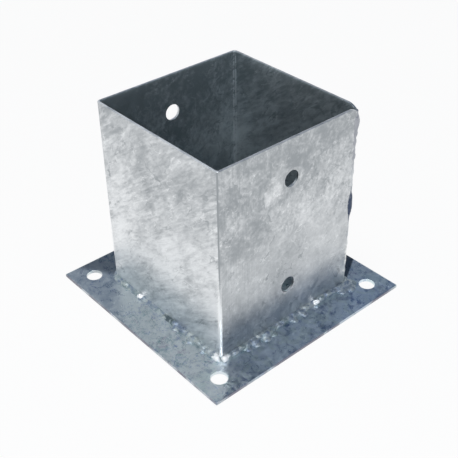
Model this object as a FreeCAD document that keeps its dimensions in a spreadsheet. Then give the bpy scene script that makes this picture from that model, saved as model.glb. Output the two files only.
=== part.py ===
import FreeCAD, Part
import math
import os
import Sketcher
from FreeCAD import Placement, Rotation, Vector

# Post base for a square timber post: a folded sheet sleeve stands on a square
# ground plate. One weld closes the sleeve's open corner, and four more tie its
# foot to the plate. +Z is up, and the origin is the middle of the plate's
# underside. The plain wall without bolt holes faces -Y.

doc = FreeCAD.newDocument("timber_post_base")

# Driving dimensions, in millimetres
DRIVING_SIZES = [
    ("post_side", 120.0, "Side of the square timber post"),
    ("post_clearance", 1.0, "Play of the post between two opposite walls"),
    ("wall_thickness", 2.0, "Sheet of the sleeve"),
    ("sleeve_height", 150.0, "Sleeve above the plate"),
    ("fold_inner_radius", 1.0, "Inside radius of the three folds"),
    ("plate_side", 180.0, "Side of the square plate"),
    ("plate_thickness", 2.5, "Sheet of the plate"),
    ("plate_corner_radius", 0.5, "Easing of the plate's square-cut corners"),
    ("anchor_hole_diameter", 12.0, "Holes for the ground anchors"),
    ("anchor_edge_distance", 16.0, "Anchor hole axis to the plate's edges"),
    ("bolt_hole_diameter", 12.0, "Holes for the bolts through the post"),
    ("bolt_hole_below_rim", 30.0, "Upper bolt axis below the sleeve's rim"),
    ("bolt_hole_above_plate", 33.0, "Lower bolt axis above the plate"),
    ("foot_weld_leg", 4.0, "Leg of the fillet welds at the foot"),
    ("foot_weld_crown", 0.6, "Bulge of the fillet welds over their chord"),
]

sizes = doc.addObject("Spreadsheet::Sheet", "Sizes")
for row, (alias, value, meaning) in enumerate(DRIVING_SIZES, start=1):
    sizes.set(f"A{row}", meaning)
    sizes.set(f"B{row}", str(value))
    sizes.setAlias(f"B{row}", alias)
doc.recompute()

# Sizes that follow from the driving ones, written as expressions of the sheet
INNER_HALF = "(Sizes.post_side + Sizes.post_clearance) / 2"
OUTER_HALF = f"({INNER_HALF} + Sizes.wall_thickness)"
FOLD_OUTER_RADIUS = "(Sizes.fold_inner_radius + Sizes.wall_thickness)"
FOLD_CENTRE = f"({OUTER_HALF} - {FOLD_OUTER_RADIUS})"
ANCHOR_HALF_SPACING = "(Sizes.plate_side / 2 - Sizes.anchor_edge_distance)"
UPPER_BOLT_HEIGHT = "(Sizes.sleeve_height - Sizes.bolt_hole_below_rim)"
LOWER_BOLT_HEIGHT = "Sizes.bolt_hole_above_plate"
CROWN_RADIUS = ("((Sizes.foot_weld_leg ^ 2 / 2 + Sizes.foot_weld_crown ^ 2)"
                " / (2 * Sizes.foot_weld_crown))")

MITRE_ANGLE = 45.0
QUARTER_TURN = 90.0
AXIS_LENGTH = 1.0


def value_of(expression):
    """The number that an expression of the sheet stands for."""
    return float(sizes.evalExpression(expression))


def new_body(label):
    body = doc.addObject("PartDesign::Body", label)
    body.Label = label
    return body


def origin_feature(body, role):
    return next(f for f in body.Origin.OriginFeatures if f.Role == role)


def new_sketch(body, name, plane):
    sketch = body.newObject("Sketcher::SketchObject", name)
    sketch.AttachmentSupport = [(origin_feature(body, plane), "")]
    sketch.MapMode = "FlatFace"
    return sketch


def add_line(sketch, start, end):
    return sketch.addGeometry(Part.LineSegment(Vector(*start, 0), Vector(*end, 0)))


def pin(sketch, kind, name, geometry, point, expression, sign=1):
    """Hold one coordinate of a point at the expression's distance from the origin."""
    origin = (-1, 1)
    target = (geometry, point)
    first, second = (origin, target) if sign > 0 else (target, origin)
    constraint = Sketcher.Constraint(kind, *first, *second, value_of(expression))
    index = sketch.addConstraint(constraint)
    sketch.renameConstraint(index, name)
    sketch.setExpression(f"Constraints.{name}", expression)


def set_radius(sketch, name, geometry, expression):
    index = sketch.addConstraint(Sketcher.Constraint("Radius", geometry, value_of(expression)))
    sketch.renameConstraint(index, name)
    sketch.setExpression(f"Constraints.{name}", expression)


def add_circle(sketch, name, x, y, radius):
    """A circle whose centre and radius are expressions of the sheet."""
    centre = Vector(value_of(x), value_of(y), 0)
    circle = sketch.addGeometry(Part.Circle(centre, Vector(0, 0, 1), value_of(radius)))
    pin(sketch, "DistanceX", f"{name}_x", circle, 3, x)
    pin(sketch, "DistanceY", f"{name}_y", circle, 3, y)
    set_radius(sketch, f"{name}_radius", circle, radius)
    return circle


def pad(body, name, sketch, length, side="One side"):
    feature = body.newObject("PartDesign::Pad", name)
    feature.Profile = sketch
    feature.SideType = side
    feature.setExpression("Length", length)
    sketch.Visibility = False
    return feature


def cut_through(body, name, sketch, side="One side"):
    """Pocket a sketch through all of the body, and check that it removed something."""
    before = body.Shape.Volume
    feature = body.newObject("PartDesign::Pocket", name)
    feature.Profile = sketch
    feature.SideType = side
    feature.Type = "ThroughAll"
    feature.Reversed = side == "One side"
    sketch.Visibility = False
    doc.recompute()
    if body.Shape.Volume >= before:
        raise RuntimeError(f"{name} cut nothing")
    return feature


def make_base_plate():
    """Square ground plate with eased corners and an anchor hole in each."""
    body = new_body("base_plate")
    outline = new_sketch(body, "plate_outline", "XY_Plane")
    half = value_of("Sizes.plate_side / 2")
    corners = [(-half, -half), (half, -half), (half, half), (-half, half)]
    edges = [add_line(outline, corners[i], corners[(i + 1) % 4]) for i in range(4)]
    for i, edge in enumerate(edges):
        direction = "Horizontal" if i % 2 == 0 else "Vertical"
        outline.addConstraint(Sketcher.Constraint(direction, edge))
        outline.addConstraint(Sketcher.Constraint("Coincident", edge, 2, edges[(i + 1) % 4], 1))
    for name, kind, edge, sign in (
        ("front_edge", "DistanceY", 0, -1),
        ("right_edge", "DistanceX", 1, 1),
        ("back_edge", "DistanceY", 2, 1),
        ("left_edge", "DistanceX", 3, -1),
    ):
        pin(outline, kind, name, edges[edge], 1, "Sizes.plate_side / 2", sign)
    slab = pad(body, "plate_sheet", outline, "Sizes.plate_thickness")
    doc.recompute()

    upright = [f"Edge{i}" for i, edge in enumerate(slab.Shape.Edges, start=1)
               if edge.BoundBox.ZLength > edge.BoundBox.XLength + edge.BoundBox.YLength]
    rounding = body.newObject("PartDesign::Fillet", "plate_corners")
    rounding.Base = (slab, upright)
    rounding.setExpression("Radius", "Sizes.plate_corner_radius")
    doc.recompute()

    hole = new_sketch(body, "anchor_hole_outline", "XY_Plane")
    add_circle(hole, "anchor", ANCHOR_HALF_SPACING, ANCHOR_HALF_SPACING,
               "Sizes.anchor_hole_diameter / 2")
    anchor_hole = cut_through(body, "anchor_hole", hole)
    grid = body.newObject("PartDesign::LinearPattern", "anchor_holes")
    grid.Originals = [anchor_hole]
    grid.Direction = (origin_feature(body, "X_Axis"), [""])
    grid.Reversed = True
    grid.Occurrences = 2
    grid.setExpression("Length", f"2 * {ANCHOR_HALF_SPACING}")
    grid.Direction2 = (origin_feature(body, "Y_Axis"), [""])
    grid.Reversed2 = True
    grid.Occurrences2 = 2
    grid.setExpression("Length2", f"2 * {ANCHOR_HALF_SPACING}")
    body.Tip = grid
    return body


def folded_edge(sketch, name, half, radius):
    """One side of the folded sheet: four straights joined by three fold arcs.

    It runs from the open corner at (+X, +Y) down the +X wall and on round the
    sleeve to the open corner again. Returns its first and last straight.
    """
    reach = value_of(half)
    bend = value_of(radius)
    centre = reach - bend
    seam = value_of(FOLD_CENTRE)
    straights = [
        add_line(sketch, (reach, seam), (reach, -centre)),
        add_line(sketch, (centre, -reach), (-centre, -reach)),
        add_line(sketch, (-reach, -centre), (-reach, centre)),
        add_line(sketch, (-centre, reach), (seam, reach)),
    ]
    folds = []
    for x, y, start in ((centre, -centre, -90), (-centre, -centre, -180), (-centre, centre, 90)):
        circle = Part.Circle(Vector(x, y, 0), Vector(0, 0, 1), bend)
        arc = Part.ArcOfCircle(circle, math.radians(start), math.radians(start + 90))
        folds.append(sketch.addGeometry(arc))
    for i, fold in enumerate(folds):
        # An arc's second point is where its counter-clockwise sweep ends.
        sketch.addConstraint(Sketcher.Constraint("Tangent", straights[i], 2, fold, 2))
        sketch.addConstraint(Sketcher.Constraint("Tangent", fold, 1, straights[i + 1], 1))
    for i, straight in enumerate(straights):
        direction = "Vertical" if i % 2 == 0 else "Horizontal"
        sketch.addConstraint(Sketcher.Constraint(direction, straight))
    for fold in folds[1:]:
        sketch.addConstraint(Sketcher.Constraint("Equal", folds[0], fold))
    set_radius(sketch, f"{name}_fold", folds[0], radius)
    pin(sketch, "DistanceX", f"{name}_right", straights[0], 1, half)
    pin(sketch, "DistanceY", f"{name}_front", straights[1], 1, half, -1)
    pin(sketch, "DistanceX", f"{name}_left", straights[2], 1, half, -1)
    pin(sketch, "DistanceY", f"{name}_back", straights[3], 2, half)
    return straights[0], straights[3]


def make_post_sleeve():
    """Sleeve folded from one strip, with two bolt holes in each side wall."""
    body = new_body("post_sleeve")
    body.setExpression("Placement.Base.z", "Sizes.plate_thickness")
    profile = new_sketch(body, "folded_strip", "XY_Plane")
    outer_start, outer_end = folded_edge(profile, "outer", OUTER_HALF, FOLD_OUTER_RADIUS)
    inner_start, inner_end = folded_edge(profile, "inner", INNER_HALF, "Sizes.fold_inner_radius")
    seam = value_of(FOLD_CENTRE)
    outer = value_of(OUTER_HALF)
    inner = value_of(INNER_HALF)
    right_end = add_line(profile, (outer, seam), (inner, seam))
    back_end = add_line(profile, (seam, outer), (seam, inner))
    for end, first, second, direction in (
        (right_end, (outer_start, 1), (inner_start, 1), "Horizontal"),
        (back_end, (outer_end, 2), (inner_end, 2), "Vertical"),
    ):
        profile.addConstraint(Sketcher.Constraint("Coincident", end, 1, *first))
        profile.addConstraint(Sketcher.Constraint("Coincident", end, 2, *second))
        profile.addConstraint(Sketcher.Constraint(direction, end))
    pin(profile, "DistanceY", "right_wall_end", right_end, 1, FOLD_CENTRE)
    pin(profile, "DistanceX", "back_wall_end", back_end, 1, FOLD_CENTRE)
    pad(body, "folded_walls", profile, "Sizes.sleeve_height")
    doc.recompute()

    holes = new_sketch(body, "bolt_hole_outlines", "YZ_Plane")
    for name, height in (("upper", UPPER_BOLT_HEIGHT), ("lower", LOWER_BOLT_HEIGHT)):
        centre = Vector(0, value_of(height), 0)
        radius = value_of("Sizes.bolt_hole_diameter / 2")
        circle = holes.addGeometry(Part.Circle(centre, Vector(0, 0, 1), radius))
        holes.addConstraint(Sketcher.Constraint("PointOnObject", circle, 3, -2))
        pin(holes, "DistanceY", f"{name}_height", circle, 3, height)
        set_radius(holes, f"{name}_radius", circle, "Sizes.bolt_hole_diameter / 2")
    body.Tip = cut_through(body, "bolt_holes", holes, side="Symmetric")
    return body


def make_seam_weld():
    """Weld that fills the sleeve's open corner and rounds it like the folds."""
    body = new_body("seam_weld")
    body.setExpression("Placement.Base.z", "Sizes.plate_thickness")
    section = new_sketch(body, "seam_section", "XY_Plane")
    seam = value_of(FOLD_CENTRE)
    inner = value_of(INNER_HALF)
    outer = value_of(OUTER_HALF)
    points = [(outer, seam), (inner, seam), (inner, inner), (seam, inner), (seam, outer)]
    sides = [add_line(section, points[i], points[i + 1]) for i in range(4)]
    circle = Part.Circle(Vector(seam, seam, 0), Vector(0, 0, 1), outer - seam)
    face = section.addGeometry(Part.ArcOfCircle(circle, 0, math.radians(QUARTER_TURN)))
    for i, side in enumerate(sides):
        direction = "Horizontal" if i % 2 == 0 else "Vertical"
        section.addConstraint(Sketcher.Constraint(direction, side))
    for first, second in zip(sides, sides[1:]):
        section.addConstraint(Sketcher.Constraint("Coincident", first, 2, second, 1))
    section.addConstraint(Sketcher.Constraint("Coincident", face, 1, sides[0], 1))
    section.addConstraint(Sketcher.Constraint("Coincident", face, 2, sides[3], 2))
    pin(section, "DistanceX", "outer_x", sides[0], 1, OUTER_HALF)
    pin(section, "DistanceY", "root_y", sides[0], 1, FOLD_CENTRE)
    pin(section, "DistanceX", "inner_x", sides[1], 1, INNER_HALF)
    pin(section, "DistanceY", "inner_y", sides[1], 2, INNER_HALF)
    pin(section, "DistanceX", "root_x", sides[3], 1, FOLD_CENTRE)
    pin(section, "DistanceY", "outer_y", sides[3], 2, OUTER_HALF)
    set_radius(section, "face_radius", face, FOLD_OUTER_RADIUS)
    body.Tip = pad(body, "seam_bead", section, "Sizes.sleeve_height")
    return body


def bead_section(body, name, along):
    """Convex fillet section in a plane across the run, at the given X."""
    section = new_sketch(body, name, "YZ_Plane")
    section.setExpression("AttachmentOffset.Base.z", along)
    wall = value_of(OUTER_HALF)
    leg = value_of("Sizes.foot_weld_leg")
    crown = value_of("Sizes.foot_weld_crown")
    toe = (-wall - leg, 0)
    root = (-wall, 0)
    top = (-wall, leg)
    on_plate = add_line(section, toe, root)
    on_wall = add_line(section, root, top)
    middle = (-wall - leg / 2 - crown / math.sqrt(2), leg / 2 + crown / math.sqrt(2))
    arc = Part.Arc(Vector(*top, 0), Vector(*middle, 0), Vector(*toe, 0))
    face = section.addGeometry(arc)
    section.addConstraint(Sketcher.Constraint("Horizontal", on_plate))
    section.addConstraint(Sketcher.Constraint("Vertical", on_wall))
    section.addConstraint(Sketcher.Constraint("Coincident", on_plate, 2, on_wall, 1))
    section.addConstraint(Sketcher.Constraint("Coincident", on_wall, 2, face, 1))
    section.addConstraint(Sketcher.Constraint("Coincident", face, 2, on_plate, 1))
    section.addConstraint(Sketcher.Constraint("PointOnObject", on_plate, 2, -1))
    pin(section, "DistanceX", "wall_face", on_wall, 1, OUTER_HALF, -1)
    pin(section, "DistanceY", "leg_up", on_wall, 2, "Sizes.foot_weld_leg")
    pin(section, "DistanceX", "leg_out", on_plate, 1, f"{OUTER_HALF} + Sizes.foot_weld_leg", -1)
    set_radius(section, "crown_radius", face, CROWN_RADIUS)
    return section


def make_foot_weld(side, quarter_turns):
    """Fillet weld along one wall's foot, from one corner's mitre to the next."""
    body = new_body(f"foot_weld_{side}")
    body.Placement = Placement(Vector(), Rotation(Vector(0, 0, 1), quarter_turns * QUARTER_TURN))
    body.setExpression("Placement.Base.z", "Sizes.plate_thickness")
    pad(body, f"{side}_run", bead_section(body, f"{side}_run_section", "0"),
        f"2 * {FOLD_CENTRE}", side="Symmetric")
    doc.recompute()

    section = bead_section(body, f"{side}_turn_section", FOLD_CENTRE)
    fold_axis = value_of(FOLD_CENTRE)
    axis = section.addGeometry(
        Part.LineSegment(Vector(-fold_axis, 0, 0), Vector(-fold_axis, AXIS_LENGTH, 0)), True)
    section.addConstraint(Sketcher.Constraint("Vertical", axis))
    section.addConstraint(Sketcher.Constraint("PointOnObject", axis, 1, -1))
    section.addConstraint(Sketcher.Constraint("DistanceY", axis, 1, axis, 2, AXIS_LENGTH))
    pin(section, "DistanceX", "fold_axis", axis, 1, FOLD_CENTRE, -1)
    turn = body.newObject("PartDesign::Revolution", f"{side}_turn")
    turn.Profile = section
    turn.ReferenceAxis = (section, ["Axis0"])
    turn.Angle = MITRE_ANGLE
    section.Visibility = False
    doc.recompute()

    other_turn = body.newObject("PartDesign::Mirrored", f"{side}_other_turn")
    other_turn.Originals = [turn]
    other_turn.MirrorPlane = (origin_feature(body, "YZ_Plane"), [""])
    body.Tip = other_turn
    return body


bodies = [make_base_plate(), make_post_sleeve(), make_seam_weld()]
for turns, wall in enumerate(("front", "right", "back", "left")):
    bodies.append(make_foot_weld(wall, turns))
doc.recompute()

for item in doc.Objects:
    if "Invalid" in item.State or "Error" in item.State:
        raise RuntimeError(f"{item.Label} did not build: {item.State}")

os.makedirs("parts", exist_ok=True)
for body in bodies:
    shape = body.Shape
    if shape.isNull() or not shape.isValid() or len(shape.Solids) != 1:
        raise RuntimeError(f"{body.Label} is not one valid solid")
    shape.exportStep(os.path.join("parts", f"{body.Label}.step"))
    print(f"{body.Label}: {shape.Volume:.1f} mm3")
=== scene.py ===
import math

import bmesh
import bpy
from mathutils import Matrix, Vector


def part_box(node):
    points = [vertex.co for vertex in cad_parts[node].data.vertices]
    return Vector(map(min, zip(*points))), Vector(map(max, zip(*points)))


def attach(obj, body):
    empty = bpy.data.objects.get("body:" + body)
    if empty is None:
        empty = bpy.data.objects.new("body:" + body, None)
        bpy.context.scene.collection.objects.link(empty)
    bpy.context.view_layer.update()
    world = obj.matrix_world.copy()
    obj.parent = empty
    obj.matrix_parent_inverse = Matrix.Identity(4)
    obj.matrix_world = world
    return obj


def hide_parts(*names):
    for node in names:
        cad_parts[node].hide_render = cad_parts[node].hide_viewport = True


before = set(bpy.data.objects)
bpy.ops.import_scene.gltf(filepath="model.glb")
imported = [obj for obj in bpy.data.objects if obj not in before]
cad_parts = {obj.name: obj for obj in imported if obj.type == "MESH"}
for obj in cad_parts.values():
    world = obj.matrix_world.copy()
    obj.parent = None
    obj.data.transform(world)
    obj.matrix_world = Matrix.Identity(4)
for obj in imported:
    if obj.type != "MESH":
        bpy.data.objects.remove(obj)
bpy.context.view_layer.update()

# Ground plate: a square of sheet steel, sheared to size, with four anchor holes.
# It is hot-dip galvanised, so its edges are eased by zinc and its face is
# clouded in slate, teal and violet greys.
MM = 0.001
plate_low, plate_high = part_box("base_plate")
PLATE_TOP = plate_high.z
PLATE_STEP = 1.8 * MM
EDGE_EASE = 0.35 * MM
EDGE_TURNS = 4
ANCHOR_REACH = 74 * MM
HOLE_RADIUS = 6 * MM
HOLE_SIDES = 48
LIP_EASE = 0.15 * MM
LIP_TURNS = 4
MERGE_WITHIN = 0.001 * MM
# Faces that meet at more than this keep a crisp edge between them
CRISP_ANGLE = math.radians(38)
SLATE = (0.34, 0.42, 0.60)
TEAL = (0.36, 0.50, 0.54)
VIOLET = (0.46, 0.45, 0.56)
BLUE_SLATE = (0.34, 0.46, 0.64)
PALE_ZINC = (0.74, 0.80, 0.82)
PALE_BLUE_ZINC = (0.70, 0.81, 0.90)
PALE_TEAL = (0.68, 0.80, 0.79)
INDIGO = (0.17, 0.21, 0.36)
# Colour of the painted shadow on the plate beside and behind the sleeve
PLATE_PAINTED_SHADE = (0.055, 0.080, 0.110)
SHEARED_EDGE = (0.20, 0.20, 0.25)
SOCKET_FLOOR_SHADE = (0.13, 0.14, 0.15)
# Strands of zinc on the plate: size of their cells and how much each lightens
PLATE_STRANDS = [(13 * MM, 0.11), (9 * MM, -0.12), (5 * MM, 0.06)]
# Slow changes over the plate: axis, start, end and how much each lightens
PLATE_SLOPES = [
    ("y", -55 * MM, -70 * MM, 0.045),
    ("x", 0 * MM, -30 * MM, 0.055),
    ("x", -55 * MM, -80 * MM, -0.045),
]


def add_node(tree, kind, inputs=None, **settings):
    """A node with its settings made and its inputs linked or filled in."""
    node = tree.nodes.new(kind)
    for name, value in settings.items():
        setattr(node, name, value)
    for name, value in (inputs or {}).items():
        if isinstance(value, bpy.types.NodeSocket):
            tree.links.new(value, node.inputs[name])
        else:
            node.inputs[name].default_value = value
    return node


def maths(tree, operation, first, second=0.0, third=0.0):
    """The result of one operation on up to three values."""
    inputs = {0: first, 1: second, 2: third}
    return add_node(tree, "ShaderNodeMath", inputs, operation=operation).outputs[0]


def product(tree, first, *others):
    """All the values multiplied together."""
    for other in others:
        first = maths(tree, "MULTIPLY", first, other)
    return first


def blended(tree, tone, layer, share):
    """Tone with a share of a noise layer, whose middle value leaves it as it was."""
    return maths(tree, "MULTIPLY_ADD", maths(tree, "SUBTRACT", layer, 0.5), share, tone)


def axes(tree, vector):
    """The three parts of a vector, one for each axis."""
    return add_node(tree, "ShaderNodeSeparateXYZ", {0: vector}).outputs


def square_reach(tree, x, y):
    """How far a point lies from the middle, measured square to the walls."""
    return maths(tree, "MAXIMUM", maths(tree, "ABSOLUTE", x), maths(tree, "ABSOLUTE", y))


def span(tree, value, low, high, to_low=0.0, to_high=1.0):
    """Value carried smoothly from one range to another."""
    inputs = {"Value": value, "From Min": low, "From Max": high,
              "To Min": to_low, "To Max": to_high}
    return add_node(tree, "ShaderNodeMapRange", inputs, interpolation_type="SMOOTHSTEP").outputs[0]


def tint(tree, amount, first, second):
    """Two colours mixed by an amount."""
    node = add_node(tree, "ShaderNodeMix", data_type="RGBA")
    for socket, value in ((node.inputs[0], amount), (node.inputs[6], first), (node.inputs[7], second)):
        if isinstance(value, bpy.types.NodeSocket):
            tree.links.new(value, socket)
        else:
            socket.default_value = (*value, 1.0)
    return node.outputs[2]


def clouds(tree, point, size, detail=3.0, twist=0.0, rough=0.55):
    """Noise whose clouds are about the given size across."""
    inputs = {"Vector": point, "Scale": 1 / size, "Detail": detail,
              "Roughness": rough, "Distortion": twist}
    return add_node(tree, "ShaderNodeTexNoise", inputs).outputs[0]


def strands(tree, point, size, twist, outer, core):
    """Thin winding lines between clouds of the given size."""
    noise = clouds(tree, point, size, 3, twist)
    off_middle = maths(tree, "ABSOLUTE", maths(tree, "SUBTRACT", noise, 0.5))
    return span(tree, off_middle, outer, core)


def new_finish(name):
    """An empty metal material, its object-space point and its main shader."""
    material = bpy.data.materials.new(name)
    material.use_nodes = True
    tree = material.node_tree
    shader = tree.nodes["Principled BSDF"]
    shader.inputs["Metallic"].default_value = 1.0
    point = add_node(tree, "ShaderNodeTexCoord").outputs["Object"]
    return material, tree, point, shader


def set_bumps(tree, shader, bumps):
    """Stacked bump layers, each a height and its depth in metres."""
    normal = None
    for height, depth in bumps:
        inputs = {"Height": height, "Distance": depth, "Strength": 1.0}
        if normal is not None:
            inputs["Normal"] = normal
        normal = add_node(tree, "ShaderNodeBump", inputs).outputs[0]
    tree.links.new(normal, shader.inputs["Normal"])


def plate_finish():
    """Clouded zinc, with painted shade beside and behind the sleeve and on the socket floor."""
    material, tree, point, shader = new_finish("plate_zinc")
    x, y, _ = axes(tree, point)
    broad = clouds(tree, point, 30 * MM, 4, 0.8)
    middle = clouds(tree, point, 7.5 * MM, 4, 1.4)
    fine = clouds(tree, point, 2.2 * MM, 3, 0.5)
    grain = clouds(tree, point, 0.6 * MM, 2)
    patches = clouds(tree, point, 13 * MM, 3, 1.3)
    elsewhere = add_node(tree, "ShaderNodeVectorMath", {0: point, 1: (0.3, 0.1, 0.7)}).outputs[0]
    hue = clouds(tree, elsewhere, 12 * MM, 2, 1.0)
    right_side = span(tree, x, 58 * MM, 68 * MM)
    rightward = product(tree, span(tree, x, 45 * MM, 80 * MM), span(tree, y, -80 * MM, -45 * MM))
    far_corner = product(tree, span(tree, y, 40 * MM, 80 * MM), right_side)

    # Tone: how light the zinc is from place to place
    tone = 0.0
    for layer, share in ((broad, 0.36), (middle, 0.40), (fine, 0.24),
                         (rightward, 0.060), (far_corner, 0.055)):
        tone = maths(tree, "MULTIPLY_ADD", layer, share, tone)
    for axis, start, end, share in PLATE_SLOPES:
        along = x if axis == "x" else y
        tone = maths(tree, "ADD", tone, span(tree, along, start, end, 0.0, share))
    for size, share in PLATE_STRANDS:
        tone = maths(tree, "MULTIPLY_ADD", strands(tree, point, size, 1.8, 0.030, 0.004), share, tone)
    tone = blended(tree, tone, patches, product(tree, right_side, 0.45))

    # Colour: cool dark clouds under pale ones, with teal and indigo on the right
    cool = tint(tree, span(tree, hue, 0.38, 0.54), SLATE, TEAL)
    cool = tint(tree, span(tree, hue, 0.54, 0.66), cool, VIOLET)
    cool = tint(tree, span(tree, x, 45 * MM, 85 * MM, 0.0, 0.7), cool, BLUE_SLATE)
    pale = tint(tree, rightward, PALE_ZINC, PALE_BLUE_ZINC)
    colour = tint(tree, span(tree, tone, 0.38, 0.60), cool, pale)
    teal = product(tree, span(tree, hue, 0.46, 0.58, 0.0, 0.55), right_side)
    colour = tint(tree, teal, colour, PALE_TEAL)
    indigo = product(tree, span(tree, patches, 0.46, 0.36, 0.0, 0.36), right_side)
    colour = tint(tree, indigo, colour, INDIGO)

    # Painted shade beside and behind the sleeve, the sheared edge and painted shade on the floor of the
    # socket
    # Painted shadow: the plate is darkened beside the left wall and in a wedge behind the sleeve's right
    # corner
    leftward = maths(tree, "MULTIPLY_ADD", x, -0.65, y)
    beside = product(tree, span(tree, x, -60 * MM, -63 * MM),
                     span(tree, leftward, -24 * MM, -15 * MM, 0.0, 0.62))
    backward = maths(tree, "MULTIPLY_ADD", y, 0.578, x)
    behind = product(tree, span(tree, backward, 99.0 * MM, 97.6 * MM, 0.0, 0.93),
                     span(tree, y, 61.5 * MM, 63.5 * MM), span(tree, x, 0 * MM, 35 * MM, 0.40, 1.0))
    colour = tint(tree, maths(tree, "MAXIMUM", beside, behind), colour, PLATE_PAINTED_SHADE)
    reach = square_reach(tree, x, y)
    sheared = product(tree, span(tree, reach, plate_high.x - 0.25 * MM, plate_high.x - 0.1 * MM),
                      span(tree, broad, 0.42, 0.56, 0.35, 0.95))
    colour = tint(tree, sheared, colour, SHEARED_EDGE)
    # Painted shade: the plate's floor inside the sleeve is darkened
    in_socket = span(tree, reach, 60.5 * MM, 59.5 * MM, 0.0, 0.75)
    colour = tint(tree, in_socket, colour, SOCKET_FLOOR_SHADE)
    tree.links.new(colour, shader.inputs["Base Color"])
    tree.links.new(span(tree, middle, 0.3, 0.7, 0.26, 0.42), shader.inputs["Roughness"])
    bumps = [(broad, 0.50 * MM), (middle, 0.30 * MM), (fine, 0.10 * MM), (grain, 0.015 * MM)]
    set_bumps(tree, shader, bumps)
    return material


def new_object(name, mesh):
    """An object in the scene that holds the mesh, which is used up."""
    data = bpy.data.meshes.new(name)
    mesh.to_mesh(data)
    mesh.free()
    piece = bpy.data.objects.new(name, data)
    bpy.context.scene.collection.objects.link(piece)
    return piece


def hole_cutter(name, centre, axis, faces):
    """A round cutter along an axis, which flares at each sheet face to ease the lip."""
    beyond = 3 * MM
    widest = HOLE_RADIUS + LIP_EASE + beyond
    turns = [math.pi / 2 * k / LIP_TURNS for k in range(LIP_TURNS + 1)]
    lip = [(LIP_EASE * (1 - math.cos(turn)), LIP_EASE * (1 - math.sin(turn))) for turn in turns]
    stations = [(faces[0] - beyond, widest)]
    for low, high in zip(faces[::2], faces[1::2]):
        stations += [(low + depth, HOLE_RADIUS + flare) for depth, flare in lip]
        stations += [(high - depth, HOLE_RADIUS + flare) for depth, flare in reversed(lip)]
    stations.append((faces[-1] + beyond, widest))
    mesh = bmesh.new()
    rings = []
    for along, size in stations:
        ring = []
        for i in range(HOLE_SIDES):
            turn = 2 * math.pi * i / HOLE_SIDES
            a, b = size * math.cos(turn), size * math.sin(turn)
            offset = Vector((along, a, b)) if axis == "X" else Vector((a, b, along))
            ring.append(mesh.verts.new(Vector(centre) + offset))
        rings.append(ring)
    for lower, upper in zip(rings, rings[1:]):
        for i in range(HOLE_SIDES):
            j = (i + 1) % HOLE_SIDES
            mesh.faces.new((lower[i], lower[j], upper[j], upper[i]))
    mesh.faces.new(rings[0])
    mesh.faces.new(rings[-1])
    bmesh.ops.recalc_face_normals(mesh, faces=mesh.faces)
    return new_object(name, mesh)


def cut_holes(piece, cutters):
    """Cut each cutter's shape out of the piece, then remove the cutters."""
    for cutter in cutters:
        cut = piece.modifiers.new("hole", "BOOLEAN")
        cut.operation = "DIFFERENCE"
        cut.solver = "MANIFOLD"
        cut.object = cutter
    settle(piece)
    for cutter in cutters:
        bpy.data.objects.remove(cutter)


def settle(piece):
    """Turn the evaluated shape into the piece's plain mesh and drop its modifiers."""
    evaluated = piece.evaluated_get(bpy.context.evaluated_depsgraph_get())
    data = bpy.data.meshes.new_from_object(evaluated)
    piece.modifiers.clear()
    piece.data = data


def finish_piece(piece, material, node):
    """Smooth the faces, give the finish, and let the piece stand for its node."""
    piece.data.materials.clear()
    piece.data.materials.append(material)
    for face in piece.data.polygons:
        face.use_smooth = True
        face.material_index = 0
    piece.data.set_sharp_from_angle(angle=CRISP_ANGLE)
    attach(piece, "root")
    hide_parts(node)


def even_cuts(low, high, step):
    """Evenly spaced places from low to high, about a step apart."""
    count = max(1, round((high - low) / step))
    return [low + (high - low) * i / count for i in range(count + 1)]


def eased_slab(name, low, high, step, ease):
    """A slab with rounded edges, closed, with an even grid on its two broad faces."""
    mesh = bmesh.new()
    grid_x = even_cuts(low.x + ease, high.x - ease, step)
    grid_y = even_cuts(low.y + ease, high.y - ease, step)
    first_x, last_x = grid_x[0], grid_x[-1]
    first_y, last_y = grid_y[0], grid_y[-1]
    rim = ([(x, first_y) for x in grid_x[:-1]] + [(last_x, y) for y in grid_y[:-1]]
           + [(x, last_y) for x in grid_x[:0:-1]] + [(first_x, y) for y in grid_y[:0:-1]])

    def outward(point):
        """Level direction that the slab's edge faces at a point of the rim."""
        x = (point[0] >= last_x) - (point[0] <= first_x)
        y = (point[1] >= last_y) - (point[1] <= first_y)
        return Vector((x, y, 0)).normalized()

    loops = []
    for upper in (False, True):
        for k in range(EDGE_TURNS + 1):
            angle = math.pi / 2 * k / EDGE_TURNS
            if upper:
                out, height = ease * math.cos(angle), high.z - ease + ease * math.sin(angle)
            else:
                out, height = ease * math.sin(angle), low.z + ease - ease * math.cos(angle)
            loops.append([mesh.verts.new(Vector((*p, height)) + outward(p) * out) for p in rim])
    for lower_loop, upper_loop in zip(loops, loops[1:]):
        for i in range(len(rim)):
            j = (i + 1) % len(rim)
            mesh.faces.new((lower_loop[i], lower_loop[j], upper_loop[j], upper_loop[i]))
    for height, ring in ((low.z, loops[0]), (high.z, loops[-1])):
        known = {(round(v.co.x, 7), round(v.co.y, 7)): v for v in ring}
        grid = {}
        for i, x in enumerate(grid_x):
            for j, y in enumerate(grid_y):
                key = (round(x, 7), round(y, 7))
                grid[i, j] = known.get(key) or mesh.verts.new((x, y, height))
        for i in range(len(grid_x) - 1):
            for j in range(len(grid_y) - 1):
                mesh.faces.new((grid[i, j], grid[i + 1, j], grid[i + 1, j + 1], grid[i, j + 1]))
    bmesh.ops.remove_doubles(mesh, verts=mesh.verts, dist=MERGE_WITHIN)
    bmesh.ops.recalc_face_normals(mesh, faces=mesh.faces)
    return new_object(name, mesh)


plate = eased_slab("ground_plate", plate_low, plate_high, PLATE_STEP, EDGE_EASE)
anchor_cutters = [
    hole_cutter("anchor_cutter", (x * ANCHOR_REACH, y * ANCHOR_REACH, 0), "Z",
                (plate_low.z, plate_high.z))
    for x in (-1, 1) for y in (-1, 1)
]
cut_holes(plate, anchor_cutters)
finish_piece(plate, plate_finish(), "base_plate")

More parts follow.
